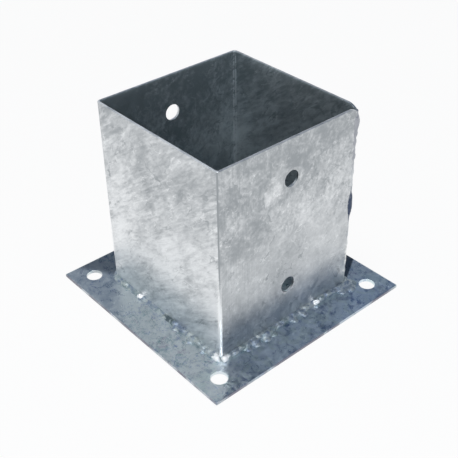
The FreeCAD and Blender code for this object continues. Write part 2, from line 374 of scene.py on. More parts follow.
# Sleeve: one strip of 2 mm sheet, folded three times round a square post and
# left open at the top. Bolt holes go through the two side walls. The zinc ran
# off its walls on a slant and dulled to a pale mottled grey.
sleeve_low, sleeve_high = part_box("post_sleeve")
FRONT = sleeve_low.y
RIGHT = sleeve_high.x
WALL = 2 * MM
INNER = RIGHT - WALL
FOLD_OUTER = 3 * MM
FOLD_STEPS = 7
WALL_STEP = 2.5 * MM
RIM_EASE = 0.35 * MM
RIM_TURNS = 3
BOLT_HEIGHTS = (PLATE_TOP + 33 * MM, PLATE_TOP + 120 * MM)
# The weld's heat rounded off the strip's two top corners, where they meet
CORNER_DROP = 2.6 * MM
CORNER_REACH = 7 * MM
CORNER_DEPTH = 12 * MM
SHEET_COAT = {"Depth": 0.22 * MM, "Size": 7 * MM, "Seed": 3, "Bias": 1}
DARK_ZINC = (0.34, 0.365, 0.385)
LIGHT_ZINC = (0.88, 0.90, 0.915)
INNER_SHADE_DARK = (0.35, 0.41, 0.44)
INNER_SHADE_LIGHT = (0.76, 0.83, 0.86)
RIM_CHALK = (0.80, 0.82, 0.82)
# Veins in the walls' zinc: size of their cells, twist and how much each lightens
WALL_VEINS = [(17 * MM, 0.9, -0.16), (13 * MM, 1.6, 0.15), (6.5 * MM, 1.2, 0.09)]
MARK_DEPTH = 4 * MM
# Marks on the walls: centre, half sizes, slant and how much each lightens
MARKS = [
    ((RIGHT, -0.017, 0.118), (MARK_DEPTH, 0.009, 0.008), 0.3, 0.16),
    ((RIGHT, 0.003, 0.135), (MARK_DEPTH, 0.008, 0.005), 0.2, -0.13),
    ((RIGHT, -0.027, 0.093), (MARK_DEPTH, 0.008, 0.011), 0.4, -0.09),
    ((RIGHT, 0.012, 0.055), (MARK_DEPTH, 0.0006, 0.0030), -0.4, -0.35),
    ((RIGHT, -0.020, 0.052), (MARK_DEPTH, 0.0006, 0.0030), -0.3, -0.25),
    ((-0.055, FRONT, 0.099), (0.0014, MARK_DEPTH, 0.0028), 0.1, -0.22),
    ((-0.003, FRONT, 0.123), (0.0130, MARK_DEPTH, 0.0007), -0.45, -0.14),
    ((0.035, FRONT, 0.112), (0.0006, MARK_DEPTH, 0.0060), -0.4, -0.15),
    ((0.000, FRONT, 0.078), (0.0060, MARK_DEPTH, 0.0040), 0.5, -0.10),
    ((-0.042, FRONT, 0.060), (0.0140, MARK_DEPTH, 0.0030), 0.6, 0.08),
]


def plan_curve(name, points, closed=False):
    """A straight-edged curve through plan points, which may have a height too."""
    data = bpy.data.curves.new(name, "CURVE")
    data.dimensions = "3D"
    spline = data.splines.new("POLY")
    spline.points.add(len(points) - 1)
    for target, point in zip(spline.points, points):
        target.co = (*point, 1) if len(point) > 2 else (*point, 0, 1)
    spline.use_cyclic_u = closed
    piece = bpy.data.objects.new(name, data)
    bpy.context.scene.collection.objects.link(piece)
    return piece


def sweep_tree():
    """Geometry nodes that carry a section along a curve, standing upright."""
    tree = bpy.data.node_groups.new("sweep_section", "GeometryNodeTree")
    face = tree.interface
    face.new_socket("Geometry", in_out="INPUT", socket_type="NodeSocketGeometry")
    face.new_socket("Section", in_out="INPUT", socket_type="NodeSocketObject")
    face.new_socket("Finish", in_out="INPUT", socket_type="NodeSocketMaterial")
    face.new_socket("Geometry", in_out="OUTPUT", socket_type="NodeSocketGeometry")
    start = add_node(tree, "NodeGroupInput")
    end = add_node(tree, "NodeGroupOutput")
    section = add_node(tree, "GeometryNodeObjectInfo", {"Object": start.outputs["Section"]})
    upright = add_node(tree, "GeometryNodeSetCurveNormal", {"Curve": start.outputs["Geometry"]})
    upright.mode = "Z_UP"
    swept = add_node(tree, "GeometryNodeCurveToMesh",
                     {"Curve": upright.outputs[0], "Profile Curve": section.outputs["Geometry"],
                      "Fill Caps": True})
    real = add_node(tree, "GeometryNodeRealizeInstances", {"Geometry": swept.outputs[0]})
    dressed = add_node(tree, "GeometryNodeSetMaterial",
                       {"Geometry": real.outputs[0], "Material": start.outputs["Finish"]})
    tree.links.new(dressed.outputs[0], end.inputs[0])
    return tree


SWEEP = sweep_tree()


def socket_key(tree, name):
    """The identifier under which a modifier keeps a named input of the tree."""
    return next(item.identifier for item in tree.interface.items_tree
                if item.item_type == "SOCKET" and item.in_out == "INPUT" and item.name == name)


def sweep(name, path, section, material):
    """The section carried along the path, as a closed plain mesh."""
    modifier = path.modifiers.new("sweep", "NODES")
    modifier.node_group = SWEEP
    modifier[socket_key(SWEEP, "Section")] = section
    modifier[socket_key(SWEEP, "Finish")] = material
    evaluated = path.evaluated_get(bpy.context.evaluated_depsgraph_get())
    data = bpy.data.meshes.new_from_object(evaluated)
    mesh = bmesh.new()
    mesh.from_mesh(data)
    bmesh.ops.remove_doubles(mesh, verts=mesh.verts, dist=MERGE_WITHIN)
    bmesh.ops.recalc_face_normals(mesh, faces=mesh.faces)
    piece = new_object(name, mesh)
    for used in (path, section):
        bpy.data.objects.remove(used)
    return piece


def stretched(tree, point, turn, width, length, detail=3.0, twist=0.6):
    """Streaks of the given width and length, which run along X before the turn in degrees."""
    turn = tuple(math.radians(angle) for angle in turn)
    placed = add_node(tree, "ShaderNodeMapping", {"Vector": point, "Rotation": turn},
                      vector_type="TEXTURE").outputs[0]
    scaled = add_node(tree, "ShaderNodeMapping",
                      {"Vector": placed, "Scale": (1 / length, 1 / width, 1 / width)}).outputs[0]
    inputs = {"Vector": scaled, "Scale": 1.0, "Detail": detail, "Distortion": twist}
    return add_node(tree, "ShaderNodeTexNoise", inputs).outputs[0]


def patch(tree, point, centre, size, slant=0.0, edge=0.35):
    """Soft uneven spot on a wall: 1 in its middle, 0 outside."""
    wander = add_node(tree, "ShaderNodeTexNoise", {"Vector": point, "Scale": 260.0, "Detail": 3.0})
    shift = add_node(tree, "ShaderNodeVectorMath", {0: wander.outputs["Color"], 1: (0.5, 0.5, 0.5)},
                     operation="SUBTRACT").outputs[0]
    shift = add_node(tree, "ShaderNodeVectorMath", {0: shift, "Scale": 8 * MM},
                     operation="SCALE").outputs[0]
    moved = add_node(tree, "ShaderNodeVectorMath", {0: point, 1: shift}).outputs[0]
    turn = (slant, 0, 0) if abs(centre[0]) > abs(centre[1]) else (0, -slant, 0)
    local = add_node(tree, "ShaderNodeMapping",
                     {"Vector": moved, "Location": centre, "Rotation": turn, "Scale": size},
                     vector_type="TEXTURE").outputs[0]
    distance = add_node(tree, "ShaderNodeVectorMath", {0: local}, operation="LENGTH")
    return span(tree, distance.outputs["Value"], 1 - edge, 1 + edge, 1.0, 0.0)


def sleeve_finish():
    """Dull streaked zinc outside, a darker coat inside as painted shade, and chalk on the rim."""
    material, tree, point, shader = new_finish("sleeve_zinc")
    x, y, z = axes(tree, point)
    normal = add_node(tree, "ShaderNodeNewGeometry").outputs["Normal"]
    facing_x, _, facing_z = axes(tree, normal)
    side_wall = maths(tree, "GREATER_THAN", maths(tree, "ABSOLUTE", facing_x), 0.7)
    low_down = span(tree, z, 95 * MM, 70 * MM)
    calm = product(tree, low_down, side_wall)
    near_fold = product(tree, span(tree, y, -20 * MM, -45 * MM), side_wall)

    # Clouds, drawn out on a slant on the front and back walls, and runs of zinc
    slope = add_node(tree, "ShaderNodeMapping", {"Vector": point, "Rotation": (0, math.radians(-38), 0)},
                     vector_type="TEXTURE").outputs[0]
    slope = add_node(tree, "ShaderNodeMapping", {"Vector": slope, "Scale": (0.38, 1.0, 1.15)}).outputs[0]
    drawn = add_node(tree, "ShaderNodeMix", {0: side_wall, 4: slope, 5: point},
                     data_type="VECTOR").outputs[1]
    broad = clouds(tree, point, 34 * MM, 4, 0.7)
    middle = clouds(tree, drawn, 9.5 * MM, 5, 1.0, 0.6)
    fine = clouds(tree, drawn, 2.6 * MM, 4, 0.5)
    grain = clouds(tree, point, 0.7 * MM, 2)
    slanted = stretched(tree, point, (0, -36, 0), 2.8 * MM, 22 * MM)
    level = stretched(tree, point, (0, -12, 90), 3.0 * MM, 16 * MM)
    steep = stretched(tree, point, (0, -48, 90), 1.8 * MM, 8 * MM)
    upright = stretched(tree, point, (0, 90, 0), 1.1 * MM, 18 * MM, 2, 0.2)
    side_runs = add_node(tree, "ShaderNodeMix", {0: low_down, 2: level, 3: steep}).outputs[0]
    runs = add_node(tree, "ShaderNodeMix", {0: side_wall, 2: slanted, 3: side_runs}).outputs[0]

    # Tone: how light the zinc is from place to place
    tone = product(tree, maths(tree, "SUBTRACT", broad, 0.5), 0.45)
    for layer, share, kept in ((middle, 0.66, 0.55), (fine, 0.42, 0.45), (grain, 0.10, 1.0)):
        share = maths(tree, "MULTIPLY_ADD", calm, share * (kept - 1), share)
        tone = blended(tree, tone, layer, share)
    tone = blended(tree, tone, upright, maths(tree, "MULTIPLY_ADD", near_fold, 0.16, 0.02))
    for size, twist, share in WALL_VEINS:
        broken = span(tree, clouds(tree, point, size * 0.8, 2, 0.4), 0.50, 0.60)
        vein = product(tree, strands(tree, drawn, size, twist, 0.020, 0.002), broken)
        tone = maths(tree, "MULTIPLY_ADD", vein, share, tone)
    lean = product(tree, span(tree, y, -60 * MM, 60 * MM, -0.07, 0.07), side_wall,
                   span(tree, z, 140 * MM, 95 * MM, 0.1, 1.0))
    # Painted reflection and shade: the front and back walls are made lighter low down, and all walls darker
    # towards the rim
    glow = product(tree, span(tree, z, 110 * MM, 70 * MM, 0.0, 0.06),
                   maths(tree, "SUBTRACT", 1.0, side_wall))
    painted_top_shade = span(tree, z, 85 * MM, 150 * MM, 0.03, -0.07)
    for change in (lean, glow, painted_top_shade):
        tone = maths(tree, "ADD", tone, change)
    run_share = product(tree, span(tree, clouds(tree, point, 26 * MM, 2), 0.42, 0.60, 0.25, 1.0),
                        maths(tree, "MULTIPLY_ADD", side_wall, -0.30, 0.44),
                        span(tree, y, -50 * MM, 50 * MM, 1.0, 0.40))
    tone = blended(tree, tone, runs, run_share)
    for centre, size, slant, share in MARKS:
        tone = maths(tree, "MULTIPLY_ADD", patch(tree, point, centre, size, slant), share, tone)

    # The front fold: a painted dark crease shade high up and a painted bright highlight at its foot
    turned = add_node(tree, "ShaderNodeVectorMath", {0: normal, 1: (0.7071, -0.7071, 0)},
                      operation="DOT_PRODUCT").outputs["Value"]
    painted_crease_shade = product(tree, span(tree, turned, 0.978, 0.999), span(tree, z, 55 * MM, 90 * MM))
    tone = maths(tree, "MULTIPLY_ADD", painted_crease_shade, -0.65, tone)
    painted_fold_highlight = product(tree, span(tree, turned, 0.84, 0.985), span(tree, z, 70 * MM, 30 * MM, 0.0, 0.75))
    # Painted highlight: a bright line low on the front left corner
    painted_edge_highlight = product(tree, span(tree, x, FRONT + 3.4 * MM, FRONT + 2.2 * MM),
                        span(tree, z, 62 * MM, 40 * MM, 0.0, 0.60),
                        span(tree, y, FRONT + 3 * MM, FRONT + 2 * MM))
    tone = maths(tree, "ADD", tone, maths(tree, "MAXIMUM", painted_fold_highlight, painted_edge_highlight))
    # Painted shade: the side walls are made a little darker than the front and back walls
    tone = maths(tree, "MULTIPLY_ADD", side_wall, -0.085, tone)
    colour = tint(tree, span(tree, tone, -0.34, 0.34), DARK_ZINC, LIGHT_ZINC)

    # The inner walls, darkened as painted shade, with a chalky line, partly a painted highlight, up the
    # fold behind the front one
    inside = maths(tree, "LESS_THAN", square_reach(tree, x, y), INNER + 0.3 * MM)
    plan = add_node(tree, "ShaderNodeCombineXYZ", {0: x, 1: y}).outputs[0]
    back_fold = add_node(tree, "ShaderNodeVectorMath",
                         {0: plan, 1: (FOLD_OUTER - RIGHT, RIGHT - FOLD_OUTER, 0)},
                         operation="DISTANCE").outputs["Value"]
    # Partly painted highlight: the inner bend of the back fold is lightened, with zinc specks along it
    chalk = product(tree, span(tree, back_fold, 1.5 * MM, 1.1 * MM), span(tree, fine, 0.42, 0.58))
    # Painted shadow: the inner walls darken towards the front
    shaded = maths(tree, "ADD", tone, span(tree, y, -55 * MM, -10 * MM, -0.20, 0.0))
    shaded = maths(tree, "MULTIPLY_ADD", chalk, 0.6, shaded)
    painted_inner_shade = tint(tree, span(tree, shaded, -0.24, 0.24), INNER_SHADE_DARK, INNER_SHADE_LIGHT)
    colour = tint(tree, inside, colour, painted_inner_shade)

    # The rim's top, where the zinc turned to white chalk
    outer_rim = maths(tree, "MAXIMUM", span(tree, y, FRONT + 2.6 * MM, FRONT + 1.9 * MM, 0.0, 0.72),
                      span(tree, x, RIGHT - 2.6 * MM, RIGHT - 1.9 * MM, 0.0, 0.32))
    chalky_rim = product(tree, outer_rim, span(tree, facing_z, 0.5, 0.8),
                         span(tree, clouds(tree, point, 12 * MM, 2), 0.38, 0.55, 0.6, 1.0))
    colour = tint(tree, chalky_rim, colour, RIM_CHALK)
    tree.links.new(colour, shader.inputs["Base Color"])
    dull = maths(tree, "MAXIMUM", product(tree, inside, 0.12), chalky_rim)
    tree.links.new(maths(tree, "SUBTRACT", 1.0, dull), shader.inputs["Metallic"])
    tree.links.new(span(tree, middle, 0.3, 0.7, 0.30, 0.40), shader.inputs["Roughness"])
    bumps = [(broad, 0.20 * MM), (runs, 0.03 * MM), (fine, 0.035 * MM), (grain, 0.01 * MM)]
    set_bumps(tree, shader, bumps)
    return material


def fold_points(half, radius, start, end, steps=FOLD_STEPS):
    """Points of a rounded fold between two directions, in degrees."""
    middle = half - radius
    mid = math.radians((start + end) / 2)
    centre = Vector((math.copysign(middle, math.cos(mid)), math.copysign(middle, math.sin(mid))))
    angles = [math.radians(start + (end - start) * k / steps) for k in range(steps + 1)]
    return [centre + radius * Vector((math.cos(a), math.sin(a))) for a in angles]


def run_points(first, last, step):
    """Evenly spaced points between two others, without those two."""
    count = max(1, round((last - first).length / step))
    return [first.lerp(last, k / count) for k in range(1, count)]


def strip_path():
    """Middle line of the folded strip, from the open corner round to it again."""
    half = RIGHT - WALL / 2
    strip_end = RIGHT - FOLD_OUTER
    radius = FOLD_OUTER - WALL / 2
    corners = [[Vector((half, strip_end))]]
    for start in (0, -90, -180):
        corners.append(fold_points(half, radius, start, start - 90))
    corners.append([Vector((strip_end, half))])
    points = list(corners[0])
    for before, after in zip(corners, corners[1:]):
        points += run_points(before[-1], after[0], WALL_STEP) + after
    return points


def sheet_section():
    """Upright section of the sheet with eased edges, as the sweep reads it: X out, Y down."""
    half = WALL / 2
    low, high = sleeve_low.z + RIM_EASE, sleeve_high.z - RIM_EASE
    points = []
    for sign_x, sign_z, start in ((1, -1, -90), (1, 1, 0), (-1, 1, 90), (-1, -1, 180)):
        z = high if sign_z > 0 else low
        for k in range(RIM_TURNS + 1):
            angle = math.radians(start + 90 * k / RIM_TURNS)
            points.append(Vector((sign_x * (half - RIM_EASE) + RIM_EASE * math.cos(angle),
                                  z + RIM_EASE * math.sin(angle))))
        if start in (-90, 90):
            last = Vector((sign_x * half, high if start == -90 else low))
            points += run_points(points[-1], last, WALL_STEP)
    return [(p.x, -p.y, 0) for p in points]


def round_top_corners(piece):
    """Lower the strip's two top corners, beside the weld that joins them."""
    for vertex in piece.data.vertices:
        spread = Vector((RIGHT - vertex.co.x, sleeve_high.y - vertex.co.y)).length - FOLD_OUTER
        near = min(1.0, max(0.0, 1 - spread / CORNER_REACH))
        upper = max(0.0, 1 - (sleeve_high.z - vertex.co.z) / CORNER_DEPTH)
        vertex.co.z -= CORNER_DROP * near ** 2 * upper


def coat_tree():
    """Geometry nodes that move a surface along its normals by seeded noise."""
    tree = bpy.data.node_groups.new("uneven_coat", "GeometryNodeTree")
    face = tree.interface
    face.new_socket("Geometry", in_out="INPUT", socket_type="NodeSocketGeometry")
    for name in ("Depth", "Size", "Seed", "Bias"):
        face.new_socket(name, in_out="INPUT", socket_type="NodeSocketFloat")
    face.new_socket("Finish", in_out="INPUT", socket_type="NodeSocketMaterial")
    face.new_socket("Geometry", in_out="OUTPUT", socket_type="NodeSocketGeometry")
    start = add_node(tree, "NodeGroupInput")
    end = add_node(tree, "NodeGroupOutput")
    place = add_node(tree, "GeometryNodeInputPosition").outputs[0]
    normal = add_node(tree, "GeometryNodeInputNormal").outputs[0]
    scale = maths(tree, "DIVIDE", 1.0, start.outputs["Size"])
    noise = add_node(tree, "ShaderNodeTexNoise",
                     {"Vector": place, "W": start.outputs["Seed"], "Scale": scale, "Detail": 3.0},
                     noise_dimensions="4D").outputs[0]
    height = maths(tree, "MULTIPLY", maths(tree, "SUBTRACT", noise, start.outputs["Bias"]),
                   start.outputs["Depth"])
    shift = add_node(tree, "ShaderNodeVectorMath", {0: normal, "Scale": height}, operation="SCALE")
    moved = add_node(tree, "GeometryNodeSetPosition",
                     {"Geometry": start.outputs["Geometry"], "Offset": shift.outputs[0]})
    real = add_node(tree, "GeometryNodeRealizeInstances", {"Geometry": moved.outputs[0]})
    dressed = add_node(tree, "GeometryNodeSetMaterial",
                       {"Geometry": real.outputs[0], "Material": start.outputs["Finish"]})
    tree.links.new(dressed.outputs[0], end.inputs[0])
    return tree


COAT = coat_tree()


def coat(piece, material, values):
    """Give the piece an uneven coat of zinc."""
    modifier = piece.modifiers.new("coat", "NODES")
    modifier.node_group = COAT
    for name, value in values.items():
        modifier[socket_key(COAT, name)] = float(value)
    modifier[socket_key(COAT, "Finish")] = material


sleeve_zinc = sleeve_finish()
section = plan_curve("sheet_section", sheet_section(), True)
path = plan_curve("strip_path", strip_path()[::-1])
sleeve = sweep("folded_sleeve", path, section, sleeve_zinc)
faces = (-RIGHT, -INNER, INNER, RIGHT)
cut_holes(sleeve, [hole_cutter("bolt_cutter", (0, 0, z), "X", faces) for z in BOLT_HEIGHTS])
round_top_corners(sleeve)
coat(sleeve, sleeve_zinc, SHEET_COAT)
settle(sleeve)
finish_piece(sleeve, sleeve_zinc, "post_sleeve")

# Foot welds: one fillet along the foot of each wall, run by hand, so it rises in
# lumps and stops and starts. Spatter lies beside it, all under the same zinc.
WELD_LEG = 3.2 * MM
WELD_ROOT = 0.5 * MM
WELD_HOLLOW = 0.15
WELD_VOXEL = 0.4 * MM
MELT_PASSES = 34
PATH_STEP = 2 * MM
FOOT_TURNS = 3
SPATTER_BAND = 9 * MM
SPATTER_DENSITY = 5000.0
SPATTER_SEED = 5
BEAD_RADIUS = 1 * MM
BEAD_SIZES = (0.35, 1.0)
WELD_COAT = {"Depth": 0.9 * MM, "Size": 5.0 * MM, "Bias": 0.5}
WELD_BLUE = (0.25, 0.31, 0.41)
WELD_TEAL = (0.29, 0.37, 0.39)
WELD_PALE = (0.48, 0.54, 0.56)
WELD_CHALK = (0.58, 0.63, 0.60)
WELD_SHADE = (0.12, 0.16, 0.18)
PAINTED_GLINT_ZINC = (0.97, 0.98, 0.98)
# Each lump: place along the wall, out from it, up from the plate, and radius in mm
LUMPS = {
    "foot_weld_front": [
        (-50, 1.0, 0.8, 2.0), (-47, 1.4, 1.2, 1.9), (-25.5, 1.4, 1.0, 1.7), (-58, 1.2, 0.8, 1.8),
        (13, 1.8, 1.2, 2.1), (18, 2.2, 0.9, 1.7), (23, 1.8, 1.6, 2.1), (29, 2.0, 1.2, 2.1),
        (34, 2.2, 1.4, 2.0), (40, 1.9, 1.7, 2.0), (45, 2.1, 1.1, 2.2), (51, 1.9, 1.5, 1.9),
        (56, 2.0, 1.2, 2.1)],
    "foot_weld_right": [
        (-56, 1.5, 1.4, 1.8), (-50, 2.1, 1.2, 2.2), (-45, 1.8, 1.7, 1.8), (-39, 2.0, 1.2, 2.0),
        (-33, 2.6, 1.0, 2.0), (-27, 1.8, 1.5, 1.9), (-21.5, 2.6, 1.0, 3.0), (-15, 1.8, 1.4, 1.8),
        (-9, 2.6, 0.8, 1.8), (-4, 1.8, 1.4, 1.9), (2, 2.2, 1.0, 1.8), (7, 1.8, 1.6, 1.7),
        (13, 2.4, 1.0, 1.9), (19, 1.8, 1.5, 1.8), (36, 1.6, 1.2, 1.7), (42, 1.9, 1.6, 2.1),
        (48, 2.2, 1.1, 1.8), (54, 2.0, 1.6, 2.4), (58, 2.6, 1.4, 2.4), (61.5, 2.4, 1.6, 2.8)],
    "foot_weld_back": [
        (-59, 2.2, 1.4, 2.4), (-44, 1.8, 1.2, 2.0), (-30, 2.0, 1.4, 1.9), (-12, 1.8, 1.2, 2.1),
        (4, 2.1, 1.2, 1.9), (21, 1.8, 1.5, 2.0), (38, 2.0, 1.1, 2.1), (55, 1.9, 1.3, 2.0)],
    "foot_weld_left": [
        (-57, 1.9, 1.2, 2.0), (-41, 2.1, 1.3, 2.1), (-24, 1.8, 1.4, 1.8), (-7, 2.0, 1.2, 2.1),
        (11, 1.8, 1.2, 1.9), (27, 2.1, 1.5, 2.0), (44, 1.8, 1.2, 2.0), (58, 2.0, 1.2, 2.1)],
}
# Lumps sink into the wall by this many mm, are flattened, and drawn out along the wall
LUMP_INSET = 0.4
LUMP_SQUASH = 0.85
LUMP_LONG, LUMP_ACROSS = 1.9, 0.95
# Round drops where the bead was stopped, given as the lumps are
DROPS = {
    "foot_weld_front": [(-28.5, 1.7, 1.5, 2.2), (60.5, 1.9, 1.8, 2.3)],
    "foot_weld_right": [(-60.5, 1.9, 1.8, 2.3), (29.5, 1.9, 1.9, 2.3)],
}
# Flat flows of metal on the plate: place along the wall, out from it and radius in mm
FLOWS = {
    "foot_weld_right": [
        (-41, 4.2, 3.0), (-33, 4.4, 3.4), (-24, 4.8, 3.8), (-17, 5.0, 3.2), (4, 4.2, 3.0),
        (14, 4.4, 3.2), (54, 5.0, 4.2), (61, 6.4, 4.4), (66, 3.4, 4.0)],
    "foot_weld_front": [(16, 3.6, 2.8), (33, 4.0, 3.2), (47, 3.8, 3.0)],
}
FLOW_SQUASH = 0.30
# Lumps given a painted highlight: centre and size
BRIGHT_LUMPS = [
    ((-0.0285, -0.0645, 0.0045), 2.4 * MM),
    ((0.0600, -0.0650, 0.0045), 3.2 * MM),
    ((0.0650, -0.0600, 0.0045), 3.2 * MM),
    ((0.0650, 0.0295, 0.0048), 2.2 * MM),
]
# A dark hollow, painted as shade, where the front bead was stopped and started again: centre and half sizes
WELD_GAP = (0.0060, -0.0645, 0.0045)
WELD_GAP_SIZE = (6 * MM, 3 * MM, 2.4 * MM)


def weld_finish():
    """Mottled zinc on weld metal: cool, chalky in patches, with a painted highlight on a few drops."""
    material, tree, point, shader = new_finish("weld_zinc")
    middle = clouds(tree, point, 6 * MM, 4, 1.2)
    fine = clouds(tree, point, 1.8 * MM, 3, 0.6)
    tone = maths(tree, "MULTIPLY_ADD", fine, 0.4, product(tree, middle, 0.6))
    hue = span(tree, clouds(tree, point, 16 * MM, 2, 0.8), 0.42, 0.56)
    cool = tint(tree, hue, WELD_BLUE, WELD_TEAL)
    colour = tint(tree, span(tree, tone, 0.40, 0.62), cool, WELD_PALE)
    chalk = span(tree, clouds(tree, point, 10 * MM, 3, 1.2), 0.55, 0.63, 0.0, 0.6)
    colour = tint(tree, chalk, colour, WELD_CHALK)
    # Painted shade in the bead where it was stopped and started
    gap = patch(tree, point, WELD_GAP, WELD_GAP_SIZE, 0.0, 0.3)
    colour = tint(tree, gap, colour, WELD_SHADE)
    # Painted highlight: a few lumps are made near white
    painted_glint = 0.0
    for centre, size in BRIGHT_LUMPS:
        spot = patch(tree, point, centre, (size, size, size), 0.0, 0.25)
        painted_glint = maths(tree, "MAXIMUM", painted_glint, spot)
    colour = tint(tree, painted_glint, colour, PAINTED_GLINT_ZINC)
    tree.links.new(colour, shader.inputs["Base Color"])
    dull = maths(tree, "MAXIMUM", product(tree, painted_glint, 0.85), product(tree, chalk, 0.3))
    tree.links.new(maths(tree, "SUBTRACT", 1.0, dull), shader.inputs["Metallic"])
    tree.links.new(span(tree, painted_glint, 0.0, 1.0, 0.56, 0.34), shader.inputs["Roughness"])
    set_bumps(tree, shader, [(middle, 0.16 * MM), (fine, 0.05 * MM)])
    return material


def spatter_tree():
    """Geometry nodes that drop round beads of metal on a band beside a weld."""
    tree = bpy.data.node_groups.new("weld_spatter", "GeometryNodeTree")
    face = tree.interface
    face.new_socket("Geometry", in_out="INPUT", socket_type="NodeSocketGeometry")
    face.new_socket("Band", in_out="INPUT", socket_type="NodeSocketObject")
    face.new_socket("Density", in_out="INPUT", socket_type="NodeSocketFloat")
    face.new_socket("Seed", in_out="INPUT", socket_type="NodeSocketInt")
    face.new_socket("Finish", in_out="INPUT", socket_type="NodeSocketMaterial")
    face.new_socket("Geometry", in_out="OUTPUT", socket_type="NodeSocketGeometry")
    start = add_node(tree, "NodeGroupInput")
    end = add_node(tree, "NodeGroupOutput")
    band = add_node(tree, "GeometryNodeObjectInfo", {"Object": start.outputs["Band"]})
    points = add_node(tree, "GeometryNodeDistributePointsOnFaces",
                      {"Mesh": band.outputs["Geometry"], "Density": start.outputs["Density"],
                       "Seed": start.outputs["Seed"]})
    bead = add_node(tree, "GeometryNodeMeshIcoSphere", {"Radius": BEAD_RADIUS, "Subdivisions": 3})
    smallest, largest = BEAD_SIZES
    sizes = add_node(tree, "FunctionNodeRandomValue",
                     {2: smallest, 3: largest, "Seed": start.outputs["Seed"]}, data_type="FLOAT")
    placed = add_node(tree, "GeometryNodeInstanceOnPoints",
                      {"Points": points.outputs[0], "Instance": bead.outputs[0], "Scale": sizes.outputs[1]})
    real = add_node(tree, "GeometryNodeRealizeInstances", {"Geometry": placed.outputs[0]})
    joined = add_node(tree, "GeometryNodeJoinGeometry")
    tree.links.new(real.outputs[0], joined.inputs[0])
    tree.links.new(start.outputs["Geometry"], joined.inputs[0])
    dressed = add_node(tree, "GeometryNodeSetMaterial",
                       {"Geometry": joined.outputs[0], "Material": start.outputs["Finish"]})
    tree.links.new(dressed.outputs[0], end.inputs[0])
    return tree


SPATTER = spatter_tree()
weld_zinc = weld_finish()


def turned_points(points, quarter):
    """Points given for the front wall, carried round to another wall."""
    turn = Matrix.Rotation(math.pi / 2 * quarter, 3, "Z")
    return [turn @ Vector((p[0], p[1], p[2] if len(p) > 2 else PLATE_TOP)) for p in points]


def fillet_section():
    """Corner fillet as the sweep reads it: X out from the wall, Y down."""
    points = [(-WELD_ROOT, -WELD_ROOT), (WELD_LEG, -WELD_ROOT), (WELD_LEG, 0.0)]
    steps = 6
    for k in range(1, steps):
        share = k / steps
        hollow = WELD_HOLLOW * WELD_LEG * math.sin(math.pi * share)
        points.append((WELD_LEG * (1 - share) - hollow, WELD_LEG * share - hollow))
    points += [(0.0, WELD_LEG), (-WELD_ROOT, WELD_LEG)]
    return [(x, -y, 0) for x, y in points]


def add_lumps(piece, places, squash=1.0, drawn_x=1.0, drawn_y=1.0):
    """Rounded lumps of metal joined to the piece: each a centre and a radius."""
    mesh = bmesh.new()
    mesh.from_mesh(piece.data)
    for centre, radius in places:
        shape = Matrix.Translation(centre) @ Matrix.Diagonal((drawn_x, drawn_y, squash, 1))
        bmesh.ops.create_icosphere(mesh, subdivisions=3, radius=radius, matrix=shape)
    mesh.to_mesh(piece.data)
    mesh.free()


def melt(piece):
    """Flow the overlapping shapes of a weld together into one closed skin."""
    remesh = piece.modifiers.new("melt", "REMESH")
    remesh.mode = "VOXEL"
    remesh.voxel_size = WELD_VOXEL
    flow = piece.modifiers.new("flow", "SMOOTH")
    flow.factor = 0.5
    flow.iterations = MELT_PASSES


def spatter_band(quarter):
    """Flat strip of the plate beside a wall, on which spatter falls."""
    reach = RIGHT + SPATTER_BAND
    mesh = bmesh.new()
    ring = turned_points([(-reach, -reach), (reach, -reach), (RIGHT, -RIGHT), (-RIGHT, -RIGHT)], quarter)
    mesh.faces.new([mesh.verts.new(p) for p in ring])
    return new_object("spatter_band", mesh)


def foot_weld(node, quarter):
    """The fillet at the foot of one wall, with its lumps, drops, flows and spatter."""
    start = fold_points(RIGHT, FOLD_OUTER, -135, -90, FOOT_TURNS)
    end = fold_points(RIGHT, FOLD_OUTER, -90, -45, FOOT_TURNS)
    line = start + run_points(start[-1], end[0], PATH_STEP) + end
    path = plan_curve("foot_line", turned_points(line, quarter))
    section = plan_curve("fillet_section", fillet_section(), True)
    piece = sweep(node + "_bead", path, section, weld_zinc)
    drawn = (LUMP_LONG, LUMP_ACROSS) if quarter % 2 == 0 else (LUMP_ACROSS, LUMP_LONG)
    flat = [(along, out, 0.0, radius) for along, out, radius in FLOWS.get(node, [])]
    heaps = (
        (LUMPS[node], LUMP_INSET, LUMP_SQUASH, drawn),
        (DROPS.get(node, []), 0.0, 1.0, ()),
        (flat, 0.0, FLOW_SQUASH, ()),
    )
    for places, inset, squash, lengths in heaps:
        centres = turned_points([(along * MM, -RIGHT - (out - inset) * MM, PLATE_TOP + up * MM)
                                 for along, out, up, radius in places], quarter)
        sized = [(centre, place[3] * MM) for centre, place in zip(centres, places)]
        add_lumps(piece, sized, squash, *lengths)
    band = spatter_band(quarter)
    drops = piece.modifiers.new("spatter", "NODES")
    drops.node_group = SPATTER
    for name, value in (("Band", band), ("Density", SPATTER_DENSITY),
                        ("Seed", SPATTER_SEED + quarter), ("Finish", weld_zinc)):
        drops[socket_key(SPATTER, name)] = value
    melt(piece)
    coat(piece, weld_zinc, {**WELD_COAT, "Seed": quarter})
    settle(piece)
    bpy.data.objects.remove(band)
    finish_piece(piece, weld_zinc, node)


for quarter, node in enumerate(LUMPS):
    foot_weld(node, quarter)

# Seam weld: the bead that closes the sleeve's open corner. It was run downwards
# in short ripples, and bulges below the rim and again half way down.
SEAM_MIDDLE = RIGHT - FOLD_OUTER
SEAM_RADIUS = 3.05 * MM
SEAM_LAP = 0.3 * MM
SEAM_STEPS = 70
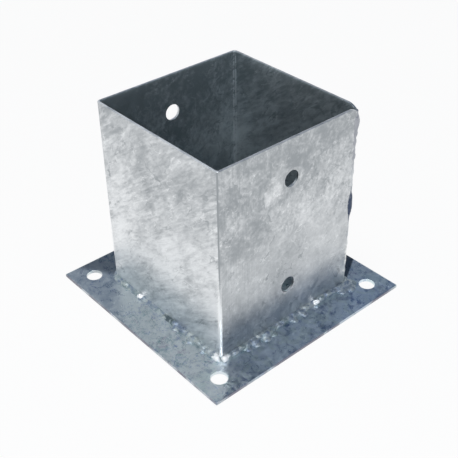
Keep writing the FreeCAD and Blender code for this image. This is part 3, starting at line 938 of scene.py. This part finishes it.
# The bead slumped a little below the rim as it set
SEAM_SLUMP = 2.2 * MM
SEAM_COAT = {"Depth": 1.2 * MM, "Size": 4.5 * MM, "Seed": 9, "Bias": 0.45}
SEAM_ROUGHNESS = 0.36
SEAM_GREY = (0.42, 0.45, 0.48)
SEAM_PALE = (0.66, 0.69, 0.71)
SEAM_HIGH_UP = (0.33, 0.34, 0.38)
SEAM_DARK_BULGE = (0.07, 0.09, 0.14)
SEAM_FOOT_HIGHLIGHT = (0.92, 0.93, 0.90)
# Each lump: mm below the rim, mm out from the corner, radius in mm, and how tall it is
SEAM_LUMPS = [(12, 1.0, 3.4, 2.6), (20, 0.5, 3.2, 1.8), (27, 0.4, 3.2, 1.5), (33, 0.2, 3.1, 1.2),
              (38, 0.5, 3.2, 1.4), (44, 0.1, 3.1, 1.3), (51, 0.4, 3.1, 1.6), (58, 0.1, 3.1, 1.3),
              (77, 0.9, 3.3, 4.0), (97, 0.1, 3.1, 1.4), (104, 0.0, 3.1, 1.5), (112, 0.2, 3.1, 1.3),
              (120, 0.0, 3.1, 1.6), (128, 0.2, 3.1, 1.3), (137, 0.2, 3.1, 1.5)]
# The bulge half way down, which is stained dark
BULGE = (RIGHT, sleeve_high.y, sleeve_high.z - 77 * MM)
BULGE_SIZE = (7 * MM, 7 * MM, 14 * MM)


def seam_finish():
    """Zinc on the bead: dull near the rim, stained at its bulge and pale at its foot as a painted
    highlight.
    """
    material, tree, point, shader = new_finish("seam_zinc")
    z = axes(tree, point)[2]
    middle = clouds(tree, point, 7 * MM, 4, 1.0)
    fine = clouds(tree, point, 2.2 * MM, 3, 0.5)
    tone = maths(tree, "MULTIPLY_ADD", fine, 0.4, product(tree, middle, 0.6))
    colour = tint(tree, span(tree, tone, 0.38, 0.62), SEAM_GREY, SEAM_PALE)
    colour = tint(tree, span(tree, z, 95 * MM, 120 * MM, 0.0, 0.75), colour, SEAM_HIGH_UP)
    colour = tint(tree, patch(tree, point, BULGE, BULGE_SIZE), colour, SEAM_DARK_BULGE)
    # Painted highlight: the lower part of the bead is made pale
    colour = tint(tree, span(tree, z, 50 * MM, 30 * MM, 0.0, 0.7), colour, SEAM_FOOT_HIGHLIGHT)
    tree.links.new(colour, shader.inputs["Base Color"])
    shader.inputs["Roughness"].default_value = SEAM_ROUGHNESS
    set_bumps(tree, shader, [(middle, 0.3 * MM), (fine, 0.10 * MM)])
    return material


def seam_section():
    """Plan of the bead: it fills the open corner and laps a little over both sheets."""
    edge = SEAM_MIDDLE - SEAM_LAP
    proud = RIGHT + 0.05 * MM
    steps = 8
    points = [(INNER, edge), (proud, edge)]
    for k in range(steps + 1):
        angle = math.pi / 2 * k / steps
        points.append((SEAM_MIDDLE + SEAM_RADIUS * math.cos(angle),
                       SEAM_MIDDLE + SEAM_RADIUS * math.sin(angle)))
    points += [(edge, proud), (edge, INNER)]
    return [(x, y, 0) for x, y in points]


seam_height = sleeve_high.z - PLATE_TOP - SEAM_SLUMP
seam_path = [(0, 0, PLATE_TOP + seam_height * k / SEAM_STEPS) for k in range(SEAM_STEPS + 1)]
seam = sweep("seam_bead", plan_curve("seam_line", seam_path),
             plan_curve("seam_section", seam_section(), True), weld_zinc)
for below, out, radius, tall in SEAM_LUMPS:
    place = SEAM_MIDDLE + out * MM * 0.7
    add_lumps(seam, [((place, place, sleeve_high.z - below * MM), radius * MM)], tall)
melt(seam)
seam_zinc = seam_finish()
coat(seam, seam_zinc, SEAM_COAT)
settle(seam)
finish_piece(seam, seam_zinc, "seam_weld")

# Camera: it looks down on the front right corner of the part.
AZIMUTH = math.radians(49.15)
ELEVATION = math.radians(35.45)
ROLL = math.radians(-0.77)
CAMERA_PLACE = (0.3831, -0.3309, 0.4104)
FOCAL_PIXELS = 845.83
IMAGE_PIXELS = 458
SENSOR_WIDTH = 36
NEAREST = 0.01
back = Vector((math.sin(AZIMUTH) * math.cos(ELEVATION),
               -math.cos(AZIMUTH) * math.cos(ELEVATION), math.sin(ELEVATION)))
level = Vector((math.cos(AZIMUTH), math.sin(AZIMUTH), 0))
rise = level.cross(-back)
camera_x = math.cos(ROLL) * level + math.sin(ROLL) * rise
camera_y = -math.sin(ROLL) * level + math.cos(ROLL) * rise
camera = bpy.data.cameras.new("camera")
camera.sensor_width = SENSOR_WIDTH
camera.lens = FOCAL_PIXELS / IMAGE_PIXELS * SENSOR_WIDTH
camera.clip_start = NEAREST
camera_object = bpy.data.objects.new("camera", camera)
turned = Matrix((camera_x, camera_y, back)).transposed().to_4x4()
camera_object.matrix_world = Matrix.Translation(CAMERA_PLACE) @ turned
bpy.context.scene.collection.objects.link(camera_object)
bpy.context.scene.camera = camera_object

# Floor: a wide white sheet that the part stands on. It shows white to the eye
# and in the metal, and takes a soft shadow.
FLOOR_REACH = 8.0
FLOOR_PAPER = (0.82, 0.82, 0.82, 1)
FLOOR_GLOW = (1, 1, 1, 1)
GLOW_SHARE = 0.93
floor_mesh = bmesh.new()
bmesh.ops.create_grid(floor_mesh, x_segments=1, y_segments=1, size=FLOOR_REACH)
floor = new_object("floor", floor_mesh)
floor_paper = bpy.data.materials.new("floor_paper")
floor_paper.use_nodes = True
tree = floor_paper.node_tree
tree.nodes.clear()
paper = add_node(tree, "ShaderNodeBsdfDiffuse", {"Color": FLOOR_PAPER})
glow = add_node(tree, "ShaderNodeEmission", {"Color": FLOOR_GLOW, "Strength": 1.0})
ray = add_node(tree, "ShaderNodeLightPath")
seen = maths(tree, "MAXIMUM", ray.outputs["Is Camera Ray"],
             maths(tree, "MAXIMUM", ray.outputs["Is Glossy Ray"], ray.outputs["Is Transmission Ray"]))
shown = add_node(tree, "ShaderNodeMixShader",
                 {0: product(tree, seen, GLOW_SHARE), 1: paper.outputs[0], 2: glow.outputs[0]})
add_node(tree, "ShaderNodeOutputMaterial", {0: shown.outputs[0]})
floor.data.materials.append(floor_paper)

# Light: a pale haze near the horizon under a slate upper room, and two soft
# lamps, a large one above the front and a small one beside the camera.
HAZE = (0.95, 0.96, 0.97)
UPPER_ROOM = (0.135, 0.172, 0.240)
UPPER_WINDOW = (0.55, 0.585, 0.61)
WINDOW_SIDE = (-0.756, -0.655, 0)
LAMP_AIM = Vector((0, 0, 0.03))
# Each lamp: name, place, width and power
LAMPS = [
    ("soft_lamp", (0.10, -0.30, 1.60), 0.5, 9),
    ("camera_side_lamp", (0.56, -0.50, 0.56), 0.13, 2.2),
]
world = bpy.data.worlds.new("room")
world.use_nodes = True
bpy.context.scene.world = world
tree = world.node_tree
direction = add_node(tree, "ShaderNodeTexCoord").outputs["Generated"]
height = axes(tree, direction)[2]
towards = add_node(tree, "ShaderNodeVectorMath", {0: direction, 1: WINDOW_SIDE},
                   operation="DOT_PRODUCT").outputs["Value"]
upper = tint(tree, span(tree, towards, 0.25, 0.80), UPPER_ROOM, UPPER_WINDOW)
room = tint(tree, span(tree, height, 0.16, 0.46), HAZE, upper)
tree.links.new(room, tree.nodes["Background"].inputs["Color"])
for name, place, width, power in LAMPS:
    lamp = bpy.data.lights.new(name, "AREA")
    lamp.shape = "DISK"
    lamp.size = width
    lamp.energy = power
    holder = bpy.data.objects.new(name, lamp)
    holder.location = place
    holder.rotation_euler = (LAMP_AIM - holder.location).to_track_quat("-Z", "Y").to_euler()
    bpy.context.scene.collection.objects.link(holder)
bpy.context.scene.view_settings.view_transform = "Standard"
